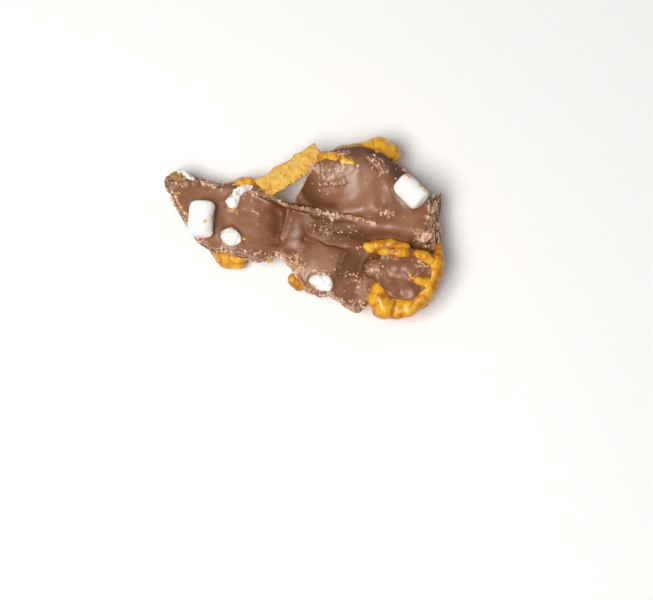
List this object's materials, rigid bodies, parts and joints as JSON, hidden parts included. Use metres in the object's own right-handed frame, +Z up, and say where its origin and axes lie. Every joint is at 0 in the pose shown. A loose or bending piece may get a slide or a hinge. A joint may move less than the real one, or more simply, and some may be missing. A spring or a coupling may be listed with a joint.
{
  "type": "smores chocolate crunch",
  "caption": "Broken cluster of milk chocolate bark with caramel popcorn, ridged graham cereal and small dried marshmallows set in it.",
  "frame": {"origin": "on the surface that the cluster lies on, under the middle of its bounding box", "axes": "+Z up, +X along the cluster's length towards its thick end, +Y across it towards the dome, away from the picture's viewer"},
  "size_m": [0.0665, 0.0446, 0.0189],
  "materials": {
    "chocolate": "milk chocolate, satin where it was poured and rough and lighter where it broke",
    "popcorn": "popped corn under a thin clear caramel glaze, glossy",
    "graham": "ridged baked cereal, dry and finely grained",
    "marshmallow": "dried marshmallow, soft matte white with a light dusting"
  },
  "bodies": {
    "root": {"chocolate": "chocolate", "popcorn_cup": "popcorn", "popcorn_dome": "popcorn", "popcorn_front": "popcorn", "popcorn_back": "popcorn", "popcorn_chip": "popcorn", "graham_back": "graham", "graham_left": "graham", "graham_front": "graham", "marshmallow_left": "marshmallow", "marshmallow_right": "marshmallow", "marshmallow_small": "marshmallow", "marshmallow_streak": "marshmallow", "marshmallow_front": "marshmallow", "marshmallow_back": "marshmallow"}
  },
  "joints": []
}
